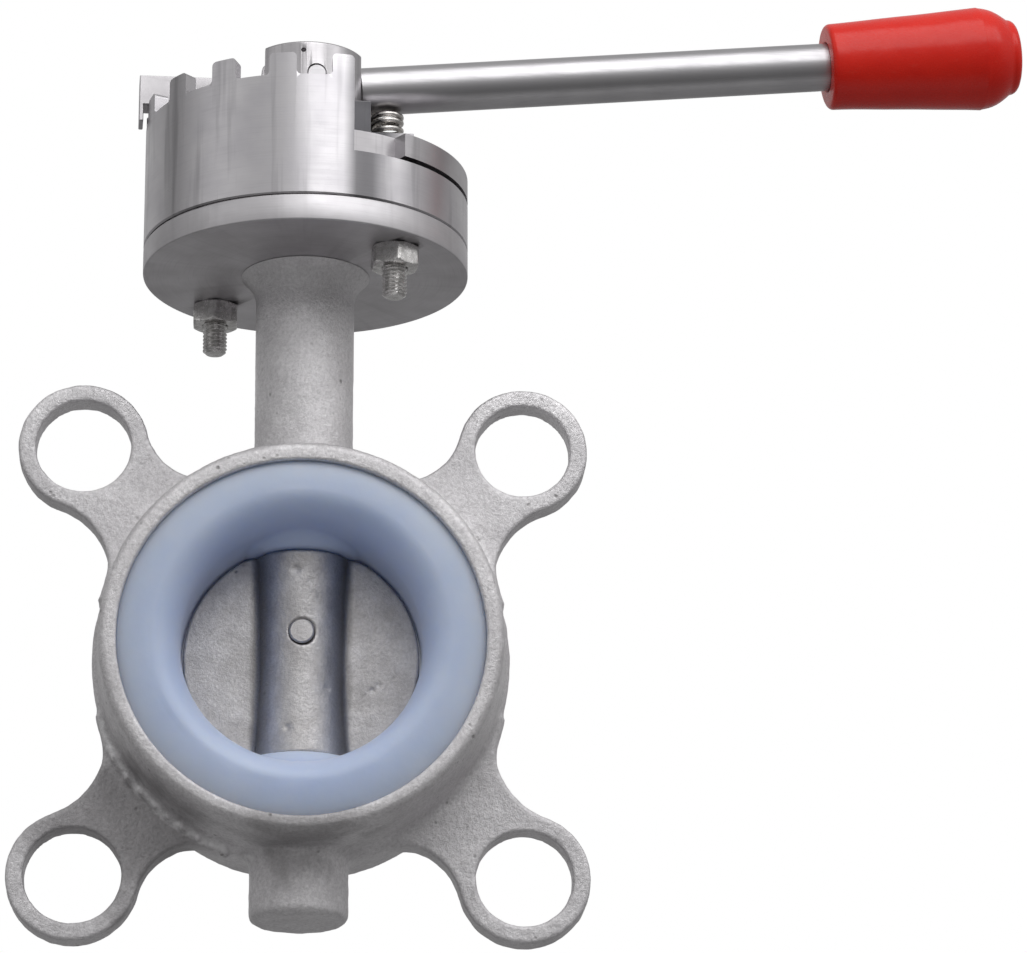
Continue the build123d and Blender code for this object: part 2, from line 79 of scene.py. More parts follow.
# Darker patches on the lower left lug's web and, as painted shade, at the bottom of the face under the seat:
# place, radius, strength.
DARK_PATCHES = (((-0.036, -0.003, -0.035), 0.021, 0.45), ((0.0, -0.0215, -0.0370), 0.017, 0.4))

# ---- turned flange on the neck
FLANGE_R = 0.0332
FLANGE_LOW_Z = 0.0819
FLANGE_TOP_Z = 0.0875
FLARE_R = 0.0131
FLARE_H = 0.0070
POCKET_R = 0.0090
POCKET_Z = 0.0846
TURNED_EDGE = 0.0003
SEAM_GAP = 0.0006  # open seam under the cap, widest on the lever's tail side
SEAM_DEPTH = 0.0014
SEAM_CORNER = 0.00015
SEAM_REACH = 0.0005  # height over which the flange's rim follows the seam
SEAM_TURN = math.radians(35)

# ---- seat and disc
SEAT_THROAT_R = 0.02385
SEAT_CREST_R = 0.0297  # the rounded nose at each face stands highest here
SEAT_NOSE_DEPTH = 0.0095
SEAT_SHOULDER_W = 0.0066
SEAT_SHOULDER_DEPTH = 0.0020
SEAT_ROOM_R = 0.0361  # the recess as cut, a little low and wide
SEAT_ROOM_Z = -0.00035
SEAT_SLACK = 0.00004  # keeps the seat's outside clear of the body
SEAT_COLUMNS = 240
SEAT_PAD_R = 0.0108  # flats that the disc's ends run against
SEAT_PAD_BLEND = 0.0030  # width over which they run into the throat
SEAT_PAD_GAP = 0.00008
DISC_R = 0.0236
DISC_HALF = 0.0026
DISC_FLAT_Z = 0.0209
DISC_BOSS_R = 0.0088  # at the waist
DISC_BOSS_FLARE = 0.0011
DISC_FOOT_R = 0.0010
DISC_EDGE_R = 0.0003
DISC_END_R = 0.0006
DISC_STEP = 0.0004  # spacing of the disc's mesh
DISC_RIPPLE = 0.000020
# Small nicks on the disc's front: x, z, radius, depth.
DENTS = ((-0.0012, 0.0168, 0.0008, 0.00035), (0.0018, 0.0143, 0.0005, 0.0002),
         (-0.0026, -0.0156, 0.0007, 0.0003), (0.0142, -0.0062, 0.0006, 0.0003),
         (0.0155, -0.0052, 0.0004, 0.0003), (0.0052, -0.0071, 0.0006, 0.0002))
STEM_R = 0.0060
PIN_R = 0.0025
PIN_Z = 0.0042
PIN_DISH = 0.00022  # the pin's hole was struck open this much, and to one side
FIT = 0.00002  # clearance of the pin and the stem in the disc

DRILL_SIDES = 48

# ---- fasteners
THREAD_R = 0.0025
THREAD_PITCH = 0.0008
THREAD_DEPTH = 0.00042
THREAD_COLUMNS = 48
BOLT_END_Z = 0.0713
BOLT_TIP_R = 0.0018
BOLT_HOLE_R = 0.0027
BOLT_HEAD_AF = 0.008
BOLT_HEAD_Z = (0.0915, 0.0950)
NUT_AF = 0.009
NUT_H = 0.0045
NUT_TURNS = (math.radians(8), 0.0)
NUT_SINK = 0.0003
# Heights of the mesh's rows on a nut and on a bolt's head, as shares.
NUT_ROWS = (0, .03, .06, .1, .15, .22, .35, .5, .65, .78, .85, .9, .94, .97, 1)
HEAD_ROWS = (.03, .08, .2, .5, .8, .88, .94, 1)
BOLT_CIRCLE_R = 0.0252
BOLT_ANGLES = (math.radians(-45.0), math.radians(137.5))

# ---- notched cap and lever
CROWN_FLOOR_Z = 0.1131
CROWN_EDGES = (0.0025, 0.0035)  # lengths between which an edge crosses the crown's wall
TOOTH_CORNER_R = 0.0009
MACHINED_EDGE = 0.0002
SHARP_DEG = 35  # a steeper bend than this is an edge
ROD_TILT = math.radians(5.72)
SPRING_X = 0.0165
SPRING_MEAN_R = 0.0030
SPRING_WIRE_R = 0.00058
SPRING_TURNS = 5.5
SPRING_END_BEND = 0.055  # how much closer the end coils lie, as a share of the height
SPRING_FOOT = 0.0001
SPRING_TOP_Z = 0.1192  # where it meets the bar's underside
COIL_STEPS = 28  # mesh steps in a turn, and sides of the wire
WIRE_SIDES = 12
GRIP_START = 0.1086  # distances along the rod from the pivot
GRIP_RIDGE = 0.1410
GRIP_END = 0.1494
GRIP_BORE_R = 0.00502
GRIP_START_R = 0.0091
GRIP_RIDGE_R = 0.0109
GRIP_END_R = 0.0080
GRIP_MOUTH_R = 0.0011
GRIP_CORNER_R = 0.0017
GRIP_SWELL = 1.15  # above 1 the swell starts slowly
GRIP_BULGE = 0.0006
GRIP_RIPPLE = 0.00004
ROD_R = 0.0050
ROD_START = 0.0090
ROD_END = 0.1415
SPIGOT_R = 0.0030
SPIGOT_START = 0.0034
ROD_EDGE = 0.0008
AXIS_R = 0.0001  # a lathed end closes this near its axis

# ---- camera and studio
CAMERA_PLACE = (-0.0027, -0.8796, -0.2541)
CAMERA_YAW = math.radians(2.94)
CAMERA_PITCH = math.radians(18.45)
CAMERA_ROLL = math.radians(-0.23)
SENSOR_W = 36.0
FOCAL_SHARE = 4.470  # focal length over the picture's width
FLOOR_Z = -0.32
FLOOR_HALF = 3.0
STUDIO_STRENGTH = 1.35  # brightness of the studio round the object
# Brightness of the studio by elevation from -90 to 90 degrees, in front of the object and behind it.
FRONT_BY_ELEVATION = ((0.0, 0.50), (0.12, 0.30), (0.20, 0.09), (0.32, 0.14), (0.42, 0.19), (0.53, 0.35),
                      (0.63, 0.56), (0.85, 0.48), (1.0, 0.40))
BACK_BY_ELEVATION = ((0.0, 0.26), (0.20, 0.20), (0.40, 0.18), (0.50, 0.28), (0.62, 0.38), (0.82, 0.34),
                     (1.0, 0.36))
# Share of that brightness by direction: 0 and 1 are behind the object, 0.25 its left, 0.5 in front of it.
BY_DIRECTION = ((0.0, 1.1), (0.09, 1.05), (0.165, 0.95), (0.185, 0.36), (0.208, 0.36), (0.225, 0.75),
                (0.275, 0.85), (0.30, 1.15), (0.345, 1.05), (0.39, 0.85), (0.44, 0.85), (0.5, 1.0),
                (0.60, 1.0), (0.637, 0.62), (0.66, 1.0), (0.70, 1.05), (0.76, 0.85), (0.85, 0.85), (1.0, 1.1))

# ---- painted shade on the machined parts
# Where along x they begin, are full, begin to fade and are faint; the heights between which they lie; their
# strength, and the share of it that goes on past the fade.
# The cap's is painted shade at the end of its wall, beside its highlight; the hub's is painted shade beside
# the spring, under the bar.
CAP_PAINTED_SHADE = ((0.0072, 0.0098, 0.0130, 0.0185), (0.0860, 0.1190), 0.68, 0.0)
HUB_PAINTED_SHADE = ((0.0084, 0.0092, 0.0160, 0.0195), (0.1033, 0.1190), 0.92, 0.35)
PAINTED_SHADE_EDGE = 0.0008


# ======== node materials

class Nodes:
    """A node tree in the making."""

    def __init__(self, tree):
        self.tree = tree

    def node(self, kind, values=(), **settings):
        """A new node; values go to its inputs, in their order or by their names."""
        made = self.tree.nodes.new(kind)
        for key, value in settings.items():
            setattr(made, key, value)
        for key, value in values.items() if isinstance(values, dict) else enumerate(values):
            self.feed(made.inputs[key], value)
        return made

    def feed(self, socket, value):
        """Links a socket into another, or sets its value."""
        if isinstance(value, bpy.types.NodeSocket):
            self.tree.links.new(value, socket)
        else:
            socket.default_value = value

    def math(self, operation, first, second=0.0):
        return self.node("ShaderNodeMath", (first, second), operation=operation).outputs[0]

    def times(self, first, *others):
        """Product of several values."""
        for other in others:
            first = self.math("MULTIPLY", first, other)
        return first

    def span(self, value, from_low, from_high, to_low=0.0, to_high=1.0):
        """Maps a number from one range to another, clamped."""
        return self.node("ShaderNodeMapRange", (value, from_low, from_high, to_low, to_high)).outputs[0]

    def vary(self, noise, low=0.0, high=1.0):
        """Maps the usual spread of a noise onto a range."""
        return self.span(noise, 0.3, 0.7, low, high)

    def mix(self, share, first, second, way="MIX"):
        """Mixes two colours."""
        first, second = (colour if isinstance(colour, bpy.types.NodeSocket) else (*colour, 1.0)
                         for colour in (first, second))
        values = {"Factor": share, 6: first, 7: second}
        return self.node("ShaderNodeMix", values, data_type="RGBA", blend_type=way).outputs[2]

    def axes(self, vector):
        """A vector's x, y and z as three sockets."""
        return self.node("ShaderNodeSeparateXYZ", (vector,)).outputs

    def greys(self, value, stops):
        """Grey tones from a ramp of (place, brightness) pairs."""
        made = self.node("ShaderNodeValToRGB", (value,))
        elements = made.color_ramp.elements
        for index, (at, tone) in enumerate(stops):
            stop = elements[index] if index < 2 else elements.new(at)
            stop.position = at
            stop.color = (tone, tone, tone, 1)
        return made.outputs[0]


class Look(Nodes):
    """A node material in the making. Its patterns lie in the piece's own metres, so they turn with it."""

    def __init__(self, name):
        self.material = bpy.data.materials.new(name)
        self.material.use_nodes = True
        super().__init__(self.material.node_tree)
        self.shader = self.tree.nodes["Principled BSDF"]
        self.place = self.node("ShaderNodeTexCoord").outputs["Object"]

    def set(self, **values):
        """Sets or links the shader's inputs; an underscore in a name stands for a space."""
        for name, value in values.items():
            self.feed(self.shader.inputs[name.replace("_", " ")], value)

    def noise(self, size, detail=3.0, roughness=0.55, vector=None):
        """Noise from 0 to 1 with blobs of about that size in metres."""
        values = {"Vector": vector or self.place, "Scale": 1.0 / size, "Detail": detail,
                  "Roughness": roughness}
        return self.node("ShaderNodeTexNoise", values).outputs[0]

    def pits(self, spacing, share):
        """1 inside small scattered round pits and 0 outside them."""
        made = self.node("ShaderNodeTexVoronoi", {"Vector": self.place, "Scale": 1.0 / spacing})
        patch = self.span(self.noise(spacing * 3.0, 1.0), 0.52, 0.62)
        return self.times(self.span(made.outputs["Distance"], share, share * 0.4), patch)

    def stretched(self, x, y, z):
        """The piece's coordinates scaled per axis."""
        return self.node("ShaderNodeMapping", {"Vector": self.place, "Scale": (x, y, z)}).outputs[0]

    def turned(self, across=1.0, around=0.02):
        """Coordinates in which a pattern is drawn out round the stem's axis, as a lathe leaves it."""
        x, y, z = self.axes(self.place)
        radius = self.math("SQRT", self.math("ADD", self.times(x, x), self.times(y, y)))
        round_way = self.times(self.math("ARCTAN2", y, x), FLANGE_R * around)
        return self.node("ShaderNodeCombineXYZ", (self.times(radius, across), round_way,
                                                  self.times(z, across))).outputs[0]

    def bump(self, *layers):
        """Stacks bumps, each a (height socket, depth in metres)."""
        normal = None
        for height, depth in layers:
            made = self.node("ShaderNodeBump", {"Strength": 1.0, "Distance": depth, "Height": height})
            if normal:
                self.feed(made.inputs["Normal"], normal)
            normal = made.outputs[0]
        self.set(Normal=normal)


def cast_stainless():
    """Blasted casting: even grain, soft blotches, small dark pits."""
    look = Look("cast_stainless")
    grain = look.noise(0.0007, 5.0, 0.75)
    blotch = look.noise(0.009, 3.0, 0.6)
    pits = look.pits(0.0032, 0.16)
    tone = look.mix(look.span(blotch, 0.35, 0.7), (0.76, 0.745, 0.76), (0.90, 0.885, 0.90))
    tone = look.mix(look.span(grain, 0.35, 0.7, 0.0, 0.5), tone, (0.42, 0.405, 0.415))
    x, y, z = look.axes(look.place)
    # Darker patches; the one at the bottom of the face under the seat is painted shade.
    for place, radius, strength in DARK_PATCHES:
        from_patch = look.node("ShaderNodeVectorMath", (look.place, place), operation="DISTANCE")
        reach = look.math("ADD", from_patch.outputs["Value"], look.vary(blotch, -0.005, 0.005))
        tone = look.mix(look.span(reach, radius * 0.5, radius, strength, 0.0), tone, (0.17, 0.16, 0.165))
    tone = look.mix(look.times(pits, 0.55), tone, (0.10, 0.09, 0.09))
    smoother = look.span(z, 0.042, 0.062)
    rough = look.math("SUBTRACT", look.vary(grain, 0.50, 0.64), look.times(smoother, 0.21))
    across = look.math("SQRT", look.math("ADD", look.times(x, x), look.times(z, z)))
    off_line = look.math("ABSOLUTE", look.math("SUBTRACT", across, RIB_R + 0.0004))
    off_line = look.math("ADD", off_line, look.vary(look.noise(0.0022), 0.0, 0.0010))
    on_left = look.span(look.math("ADD", x, z), -0.050, -0.044, 1.0, 0.0)
    # Painted highlight: the tone is lightened along the flash line on the lower left, over the real flash in
    # the mesh.
    flash_highlight = look.times(look.span(off_line, 0.0006, 0.0014, 1.0, 0.0), on_left,
                              look.span(y, -0.0052, -0.0042), look.span(y, -0.0030, -0.0024, 0.8, 0.0))
    tone = look.mix(flash_highlight, tone, (0.95, 0.94, 0.95))
    look.set(Base_Color=tone, Metallic=1.0, Roughness=rough)
    look.bump((blotch, 0.00020), (grain, 0.00022), (look.math("SUBTRACT", 1.0, pits), 0.00012))
    return look.material


def disc_stainless():
    """The disc's casting: a little smoother, with painted shade in bands beside the boss."""
    look = Look("disc_stainless")
    grain = look.noise(0.0006, 5.0, 0.75)
    blotch = look.noise(0.007, 3.0, 0.65)
    pits = look.pits(0.0040, 0.15)
    tone = look.mix(look.vary(blotch), (0.50, 0.485, 0.485), (0.72, 0.705, 0.71))
    tone = look.mix(look.span(grain, 0.35, 0.75, 0.0, 0.4), tone, (0.26, 0.245, 0.25))
    tone = look.mix(look.times(pits, 0.7), tone, (0.08, 0.075, 0.07))
    # Painted shade: darker bands beside the boss, where it meets the plate.
    aside = look.math("ABSOLUTE", look.axes(look.place)[0])
    aside = look.math("ADD", aside, look.vary(blotch, -0.0003, 0.0003))
    dull = look.times(look.span(aside, 0.0058, 0.0082), look.span(aside, 0.0094, 0.0104, 0.65, 0.0))
    tone = look.mix(dull, tone, (0.20, 0.19, 0.185))
    look.set(Base_Color=tone, Metallic=1.0, Roughness=look.vary(grain, 0.34, 0.5))
    look.bump((blotch, 0.0002), (grain, 0.00013), (look.math("SUBTRACT", 1.0, pits), 0.00014))
    return look.material


def machined(name, light, dark, smooth, dull, marks=0.55, painted_shade=None):
    """Turned stainless: fine lines round the stem's axis, faint handling marks, and, where given, a painted
    shade that darkens a corner.
    """
    look = Look(name)
    lines = look.noise(0.00022, 3.0, 0.6, look.turned())
    bands = look.noise(0.0016, 2.0, 0.5, look.turned())
    haze = look.noise(0.011, 3.0, 0.6)
    upright = look.noise(0.0030, 3.0, 0.6, look.turned(0.06, 1.0))
    tone = look.mix(look.span(haze, 0.3, 0.72), light, dark)
    tone = look.mix(look.span(upright, 0.54, 0.70, 0.0, marks), tone, [0.6 * part for part in dark])
    tone = look.mix(look.span(lines, 0.5, 0.8, 0.0, 0.2), tone, [0.6 * part for part in dark])
    if painted_shade:
        (x_unshaded, x_dark, x_end, x_faded), (low, high), share, rest = painted_shade
        x, _, z = look.axes(look.place)
        # Painted shade: the tone darkens in a band along x, between two heights.
        shade_mask = look.times(look.span(x, x_unshaded, x_dark, 0.0, share), look.span(z, low, low + PAINTED_SHADE_EDGE),
                          look.span(z, high, high - PAINTED_SHADE_EDGE), look.span(x, x_end, x_faded, 1.0, rest))
        tone = look.mix(shade_mask, tone, (0.045, 0.045, 0.05))
    rough = look.math("ADD", look.vary(haze, smooth, dull), look.vary(lines, -0.02, 0.03))
    look.set(Base_Color=tone, Metallic=1.0, Roughness=rough)
    look.bump((bands, 0.000008), (lines, 0.000004), (upright, 0.00002))
    return look.material


def polished(name):
    """Ground bar: lines along it and a soft polish."""
    look = Look(name)
    lines = look.noise(0.0004, 3.0, 0.6, look.stretched(0.03, 1.0, 1.0))
    haze = look.noise(0.012, 3.0, 0.6)
    tone = look.mix(look.vary(haze), (0.55, 0.54, 0.555), (0.48, 0.47, 0.485))
    tone = look.mix(look.span(lines, 0.5, 0.8, 0.0, 0.3), tone, (0.36, 0.35, 0.36))
    rough = look.math("ADD", look.vary(haze, 0.31, 0.38), look.vary(lines, -0.02, 0.04))
    look.set(Base_Color=tone, Metallic=1.0, Roughness=rough)
    look.bump((lines, 0.00001))
    return look.material


def fastener_steel(name, light, dark):
    """Rolled and cold-headed steel with a mottled film."""
    look = Look(name)
    mottle = look.noise(0.0014, 3.0, 0.6)
    marks = look.noise(0.0003, 2.0, 0.6)
    tone = look.mix(look.span(mottle, 0.35, 0.7), light, dark)
    look.set(Base_Color=tone, Metallic=1.0, Roughness=look.vary(mottle, 0.20, 0.34))
    look.bump((mottle, 0.00005), (marks, 0.00002))
    return look.material


def seat_rubber():
    """Pale blue silicone: cloudy, with a skin that shines softly."""
    look = Look("seat_rubber")
    cloud = look.noise(0.014, 3.0, 0.6)
    skin = look.noise(0.0009, 3.0, 0.6)
    dust = look.pits(0.0060, 0.06)
    tone = look.mix(look.vary(cloud), (0.55, 0.64, 0.87), (0.61, 0.69, 0.90))
    tone = look.mix(look.times(dust, 0.5), tone, (0.62, 0.66, 0.72))
    look.set(Base_Color=tone, Roughness=look.vary(skin, 0.36, 0.46))
    look.set(Subsurface_Weight=0.8, Subsurface_Radius=(0.7, 0.85, 1.0), Subsurface_Scale=0.007)
    look.set(Specular_IOR_Level=0.5)
    look.bump((cloud, 0.0002), (skin, 0.00002))
    return look.material


def plain_polymer(name, light, dark, roughness):
    """Moulded bearing plastic or black rubber: faint mottling and mould texture."""
    look = Look(name)
    mottle = look.noise(0.003, 3.0, 0.6)
    skin = look.noise(0.0004, 2.0, 0.5)
    look.set(Base_Color=look.mix(look.vary(mottle), light, dark))
    look.set(Roughness=look.vary(skin, roughness - 0.05, roughness + 0.08))
    look.bump((skin, 0.00002))
    return look.material


def red_plastic():
    """Dipped red grip: glossy, with slow waves and a few scuffs."""
    look = Look("red_plastic")
    wave = look.noise(0.010, 2.0, 0.5)
    scuff = look.noise(0.0011, 3.0, 0.65, look.stretched(0.5, 1.0, 1.0))
    tone = look.mix(look.vary(wave), (0.82, 0.022, 0.010), (0.74, 0.016, 0.008))
    tone = look.mix(look.span(scuff, 0.62, 0.8, 0.0, 0.35), tone, (0.80, 0.08, 0.05))
    look.set(Base_Color=tone, Roughness=look.span(scuff, 0.35, 0.75, 0.22, 0.34))
    look.set(Specular_IOR_Level=0.33)
    look.bump((wave, 0.0002), (scuff, 0.000008))
    return look.material


def slot_of(material):
    return material.name.split(".")[0]


def make_materials():
    """One material for each slot of the record."""
    made = (
        cast_stainless(), disc_stainless(),
        machined("machined_stainless", (0.60, 0.585, 0.60), (0.52, 0.505, 0.53), 0.28, 0.36, painted_shade=CAP_PAINTED_SHADE),
        machined("turned_flange", (0.64, 0.625, 0.645), (0.54, 0.525, 0.54), 0.44, 0.52, 0.15),
        machined("hub_stainless", (0.54, 0.525, 0.54), (0.46, 0.445, 0.46), 0.30, 0.40, painted_shade=HUB_PAINTED_SHADE),
        polished("polished_stainless"),
        fastener_steel("bolt_steel", (0.78, 0.765, 0.76), (0.50, 0.49, 0.48)),
        fastener_steel("spring_steel", (0.76, 0.73, 0.70), (0.56, 0.54, 0.52)),
        seat_rubber(),
        plain_polymer("seal_rubber", (0.025, 0.024, 0.024), (0.015, 0.015, 0.016), 0.5),
        plain_polymer("bush_ptfe", (0.74, 0.73, 0.69), (0.68, 0.67, 0.63), 0.45),
        red_plastic())
    return {slot_of(material): material for material in made}


# ======== mesh helpers

def shown(name, mesh, sharp_deg=None):
    """Puts a mesh in the scene, smooth except along edges sharper than the angle."""
    mesh.polygons.foreach_set("use_smooth", [True] * len(mesh.polygons))
    if sharp_deg:
        mesh.set_sharp_from_angle(angle=math.radians(sharp_deg))
    piece = bpy.data.objects.new(name, mesh)
    bpy.context.scene.collection.objects.link(piece)
    return piece


def new_piece(name, vertices, faces, sharp_deg=None):
    mesh = bpy.data.meshes.new(name)
    mesh.from_pydata([tuple(v) for v in vertices], [], [tuple(f) for f in faces])
    mesh.validate()
    return shown(name, mesh, sharp_deg)


def grid_faces(rows, columns, wrap_rows=False):
    """Quads between the rows of a grid whose columns close into rings."""
    faces = []
    for row in range(rows if wrap_rows else rows - 1):
        upper = (row + 1) % rows * columns
        for column in range(columns):
            after = (column + 1) % columns
            faces.append((row * columns + column, row * columns + after, upper + after, upper + column))
    return faces


def lathe(profile, columns):
    """Vertices and quads of a closed (radius, height) outline turned about +Z; outline anticlockwise."""
    turns = np.arange(columns) * 2 * np.pi / columns
    profile = np.asarray(profile)
    x = profile[:, 0, None] * np.cos(turns)
    y = profile[:, 0, None] * np.sin(turns)
    z = np.repeat(profile[:, 1, None], columns, 1)
    return np.stack([x, y, z], 2).reshape(-1, 3), grid_faces(len(profile), columns, True)


def stacked_rings(rows, columns, wrap_rows=False):
    """Rings of (height, radius); a radius may be a function of the ring's angles and its height."""
    turns = np.arange(columns) * 2 * np.pi / columns
    rings = []
    for height, radius in rows:
        radius = np.full(columns, radius(turns, height) if callable(radius) else radius)
        rings.append(np.stack([radius * np.cos(turns), radius * np.sin(turns), np.full(columns, height)], 1))
    return np.concatenate(rings), grid_faces(len(rings), columns, wrap_rows)


def laid(vertices, place):
    """Vertices moved by a matrix."""
    place = np.array(place)
    return vertices @ place[:3, :3].T + place[:3, 3]


# ======== body casting as a distance field

def joined(first, second, radius):
    """Union of two distance fields with a fillet."""
    u = np.maximum(radius - first, 0)
    v = np.maximum(radius - second, 0)
    return np.maximum(radius, np.minimum(first, second)) - np.sqrt(u * u + v * v)


def common(first, second, radius):
    """Intersection of two distance fields with a rounded edge."""
    return -joined(-first, -second, radius)


def fillet_centre(radius):
    """Centre, from the lug's own line, of a circle that touches the rib and the lug's eye."""
    to_barrel, to_eye = BARREL_MID_R + LUG_LAND + radius, LUG_EYE_R + radius
    cos_a = (LUG_CIRCLE_R ** 2 + to_barrel ** 2 - to_eye ** 2) / (2 * LUG_CIRCLE_R * to_barrel)
    return to_barrel * cos_a, to_barrel * math.sqrt(1 - cos_a ** 2)


def between(value, low, high):
    """Distance outside a slab."""
    return np.abs(value - (low + high) / 2) - (high - low) / 2


def right_of(u, v, start, end):
    """Distance of points to the right of a line."""
    along = (end[0] - start[0], end[1] - start[1])
    return ((v - start[1]) * -along[0] + (u - start[0]) * along[1]) / math.hypot(*along)


def lug_field(x, y, z):
    """The four lugs, folded into one quadrant."""
    u = (np.abs(x) + np.abs(z)) / math.sqrt(2)
    v = (np.abs(z) - np.abs(x)) / math.sqrt(2)
    below_x, below_y = fillet_centre(LUG_SIDE_FILLET_R)
    above_x, above_y = fillet_centre(LUG_END_FILLET_R)
    corners = [(0, 0), (below_x, -below_y), (LUG_CIRCLE_R, 0), (above_x, above_y)]
    web = np.full(np.broadcast(u, v).shape, -1.0)
    for index, corner in enumerate(corners):
        web = np.maximum(web, right_of(u, v, corner, corners[(index + 1) % 4]))
    web = np.maximum(web, LUG_SIDE_FILLET_R - np.hypot(u - below_x, v + below_y))
    web = np.maximum(web, LUG_END_FILLET_R - np.hypot(u - above_x, v - above_y))
    from_hole = np.hypot(u - LUG_CIRCLE_R, v)
    plate = common(np.minimum(web, from_hole - LUG_EYE_R), np.abs(y) - LUG_HALF, LUG_EDGE_R)
    return common(plate, LUG_HOLE_R - from_hole, LUG_HOLE_EDGE_R)


def barrel_field(x, y, z):
    """Drafted barrel whose faces were cut slightly off centre, with the parting rib."""
    across = np.hypot(x, z)
    from_middle = np.abs(y)
    draft = BARREL_MID_R + (BARREL_FACE_R - BARREL_MID_R) * from_middle / BARREL_HALF
    barrel = common(across - draft, from_middle - BARREL_HALF, BARREL_EDGE_R)
    off_centre = np.hypot(x - FACING_SHIFT, z - FACING_SHIFT)
    facing = (off_centre + from_middle - BARREL_FACE_R - BARREL_HALF + FACING_DEPTH) / math.sqrt(2)
    barrel = common(barrel, facing, FINE_EDGE_R)
    rib = common(across - RIB_R, from_middle - RIB_HALF, RIB_EDGE_R)
    return joined(barrel, rib, RIB_ROOT_R)


def casting_field(x, y, z):
    """Signed distance to the body casting up to the neck's split, negative inside."""
    from_stem = np.hypot(x, y)
    solid = joined(barrel_field(x, y, z), lug_field(x, y, z), LUG_ROOT_R)
    neck_r = NECK_R - NECK_TUCK * np.clip((z - NECK_SPLIT_Z) / 0.001, 0, 1)
    neck = common(from_stem - neck_r, between(z, SEAT_BED_R + BURIED, NECK_SPLIT_Z + 0.002), FINE_EDGE_R)
    solid = joined(solid, neck, NECK_ROOT_R)
    boss = common(from_stem - BOSS_R, between(z, BOSS_BOTTOM_Z, -SEAT_BED_R - BURIED), BOSS_EDGE_R)
    solid = joined(solid, boss, NECK_ROOT_R)
    recess = np.maximum(np.hypot(x, z - SEAT_ROOM_Z) - SEAT_ROOM_R, BARREL_HALF - SEAT_RIM_T - np.abs(y))
    room = np.minimum(recess, np.hypot(x, z) - SEAT_BED_R)
    solid = common(solid, -room, FINE_EDGE_R)
    return common(solid, -np.maximum(from_stem - STEM_BORE_R, STEM_BORE_BOTTOM_Z - z), BORE_EDGE_R)


def surface_nets(field, low, step):
    """Vertices and quads on the zero surface of a sampled field, one vertex in each cell it crosses."""
    inside = field < 0
    cells_shape = np.array(field.shape) - 1
    corners = np.array([(i, j, k) for i in (0, 1) for j in (0, 1) for k in (0, 1)])
    count = np.zeros(cells_shape, np.int8)
    for corner in corners:
        window = tuple(slice(at, at + size) for at, size in zip(corner, cells_shape))
        count += inside[window]
    cells = np.argwhere((count > 0) & (count < 8))
    values = np.stack([field[tuple((cells + corner).T)] for corner in corners], 1)
    total, hits = np.zeros((len(cells), 3)), np.zeros((len(cells), 1))
    for first in range(8):
        for axis in range(3):
            if corners[first][axis]:
                continue
            second = first + (4, 2, 1)[axis]
            a, b = values[:, first, None], values[:, second, None]
            crosses = (a < 0) != (b < 0)
            share = np.where(crosses, a / np.where(crosses, a - b, 1.0), 0.0)
            total += crosses * (corners[first] + share * np.eye(3)[axis])
            hits += crosses
    vertices = low + step * (cells + total / hits)
    index = np.full(cells_shape, -1)
    index[tuple(cells.T)] = np.arange(len(cells))
    quads = []
    for axis in range(3):
        one, two, three = np.eye(3, dtype=int)[[axis, (axis + 1) % 3, (axis + 2) % 3]]
        shape = np.array(field.shape) - one
        start = inside[tuple(slice(0, size) for size in shape)]
        end = inside[tuple(slice(at, at + size) for at, size in zip(one, shape))]
        places = np.argwhere(start != end)
        places = places[((places > 0) | (one > 0)).all(1) & ((places < cells_shape) | (one > 0)).all(1)]
        ring = [index[tuple((places - shift).T)] for shift in (0 * one, two, two + three, three)]
        quad = np.stack(ring, 1)
        outward = start[tuple(places.T)]
        quads.append(np.where(outward[:, None], quad, quad[:, ::-1]))
    return vertices, np.concatenate(quads)


def gradient(field, points, reach=0.00005):
    """The field's slope at points."""
    slopes = []
    for axis in range(3):
        shift = np.eye(3)[axis] * reach
        slopes.append(field(*(points + shift).T) - field(*(points - shift).T))
    return np.stack(slopes, 1) / (2 * reach)


def normals(field, points):
    """Unit vectors out of the field's surface."""
    slope = gradient(field, points)
    return slope / np.maximum(np.linalg.norm(slope, axis=1, keepdims=True), 0.1)


def solid_of(field, low, high, step):
    """Mesh of a distance field in a box, its vertices drawn onto the exact surface."""
    axes = [np.arange(a, b + step, step) for a, b in zip(low, high)]
    x, y, z = axes[0][:, None, None], axes[1][None, :, None], axes[2][None, None, :]
    vertices, quads = surface_nets(field(x, y, z), np.array(low), step)
    for _ in range(3):
        slope = gradient(field, vertices)
        steepness = np.maximum((slope ** 2).sum(1, keepdims=True), 0.25)
        vertices -= field(*vertices.T)[:, None] * slope / steepness
    return vertices, quads


def ripple(points, wavelength, seed):
    """A smooth random number between about -1 and 1 at each point, from a few dozen plane waves."""
    random = np.random.default_rng(seed)
    total = np.zeros(len(points))
    for _ in range(30):
        direction = random.normal(size=3)
        direction *= 2 * np.pi / np.linalg.norm(direction) / (wavelength * random.uniform(0.7, 1.5))
        total += np.sin(points @ direction + random.uniform(0, 2 * np.pi))
    return total / math.sqrt(30)


def flash_height(points):
    """Ragged flash left on the lower left, where the lug's face meets the barrel."""
    x, y, z = points.T
    angle = np.degrees(np.arctan2(z, x)) % 360
    line = np.hypot(x, z) - RIB_R - 0.0003 - 0.0004 * np.sin(np.radians(angle * 9))
    along = np.clip((angle - FLASH_DEG[0]) / 6, 0, 1) * np.clip((FLASH_DEG[1] - angle) / 8, 0, 1)
    ragged = 0.7 + 0.5 * ripple(points, 0.0025, 5)
    across = np.exp(-(line / 0.0006) ** 2) * np.exp(-((y - FLASH_Y) / 0.0010) ** 2)
    return FLASH_H * along * across * np.maximum(ragged, 0)


